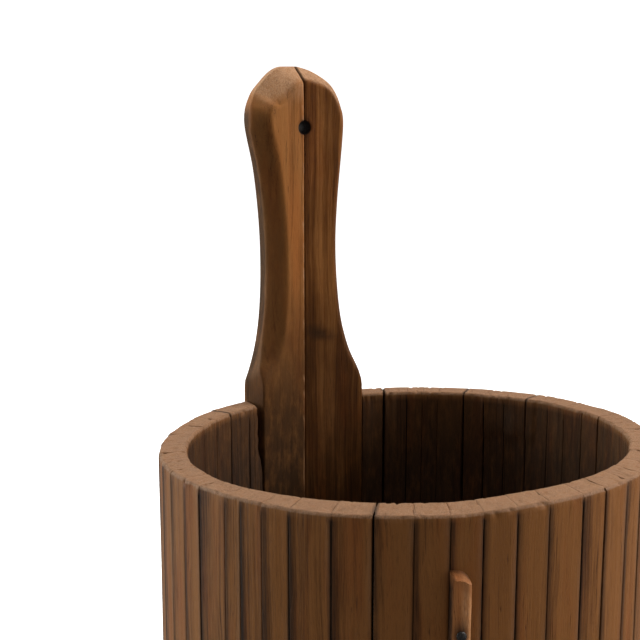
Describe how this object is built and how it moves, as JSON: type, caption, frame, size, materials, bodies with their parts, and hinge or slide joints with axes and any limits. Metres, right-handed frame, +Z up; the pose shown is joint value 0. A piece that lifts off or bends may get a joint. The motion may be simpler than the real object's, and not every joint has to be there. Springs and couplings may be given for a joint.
{
  "type": "butter churn tub",
  "caption": "Open-topped coopered wooden churn tub with upright staves, iron hoops, a tall two-board handle with a hanging hole, and a small front cleat.",
  "frame": {"origin": "centre of the base, on the floor that the stave ends stand on", "axes": "+Z up the tub's axis, +Y towards the handle, +X to the right when the handle is at the back"},
  "size_m": [0.301, 0.3042, 0.6231],
  "materials": {
    "stave_wood": "worn bare softwood staves with open grain, darkened outside and nearly black deep inside",
    "handle_wood": "hand-worn satin wood with soft arrises",
    "head_wood": "dull stained boards",
    "dowel_wood": "plain turned dowel",
    "cleat_wood": "worn orange-brown wood",
    "hoop_iron": "dark wrought iron with thin rust",
    "nail_iron": "dull dark iron"
  },
  "bodies": {
    "root": {"stave_01": "stave_wood", "stave_02": "stave_wood", "stave_03": "stave_wood", "stave_04": "stave_wood", "stave_05": "stave_wood", "stave_06": "stave_wood", "stave_07": "stave_wood", "stave_08": "stave_wood", "stave_09": "stave_wood", "stave_10": "stave_wood", "stave_11": "stave_wood", "stave_12": "stave_wood", "stave_13": "stave_wood", "stave_14": "stave_wood", "stave_15": "stave_wood", "stave_16": "stave_wood", "stave_17": "stave_wood", "stave_18": "stave_wood", "stave_19": "stave_wood", "stave_20": "stave_wood", "stave_21": "stave_wood", "stave_22": "stave_wood", "stave_23": "stave_wood", "stave_24": "stave_wood", "stave_25": "stave_wood", "stave_26": "stave_wood", "stave_27": "stave_wood", "stave_28": "stave_wood", "stave_29": "stave_wood", "stave_30": "stave_wood", "stave_31": "stave_wood", "stave_32": "stave_wood", "stave_33": "stave_wood", "stave_34": "stave_wood", "stave_35": "stave_wood", "stave_36": "stave_wood", "stave_37": "stave_wood", "stave_38": "stave_wood", "stave_39": "stave_wood", "stave_40": "stave_wood", "stave_41": "stave_wood", "stave_42": "stave_wood", "stave_43": "stave_wood", "stave_44": "stave_wood", "stave_45": "stave_wood", "handle_board_left": "handle_wood", "handle_board_right": "handle_wood", "head_board_1": "head_wood", "head_board_2": "head_wood", "head_board_3": "head_wood", "head_board_4": "head_wood", "handle_dowels": "dowel_wood", "head_dowels": "dowel_wood", "hoop_bottom": "hoop_iron", "hoop_middle": "hoop_iron", "hoop_top": "hoop_iron", "hoop_rivets": "hoop_iron", "cleat": "cleat_wood", "cleat_nails": "nail_iron"}
  },
  "joints": []
}
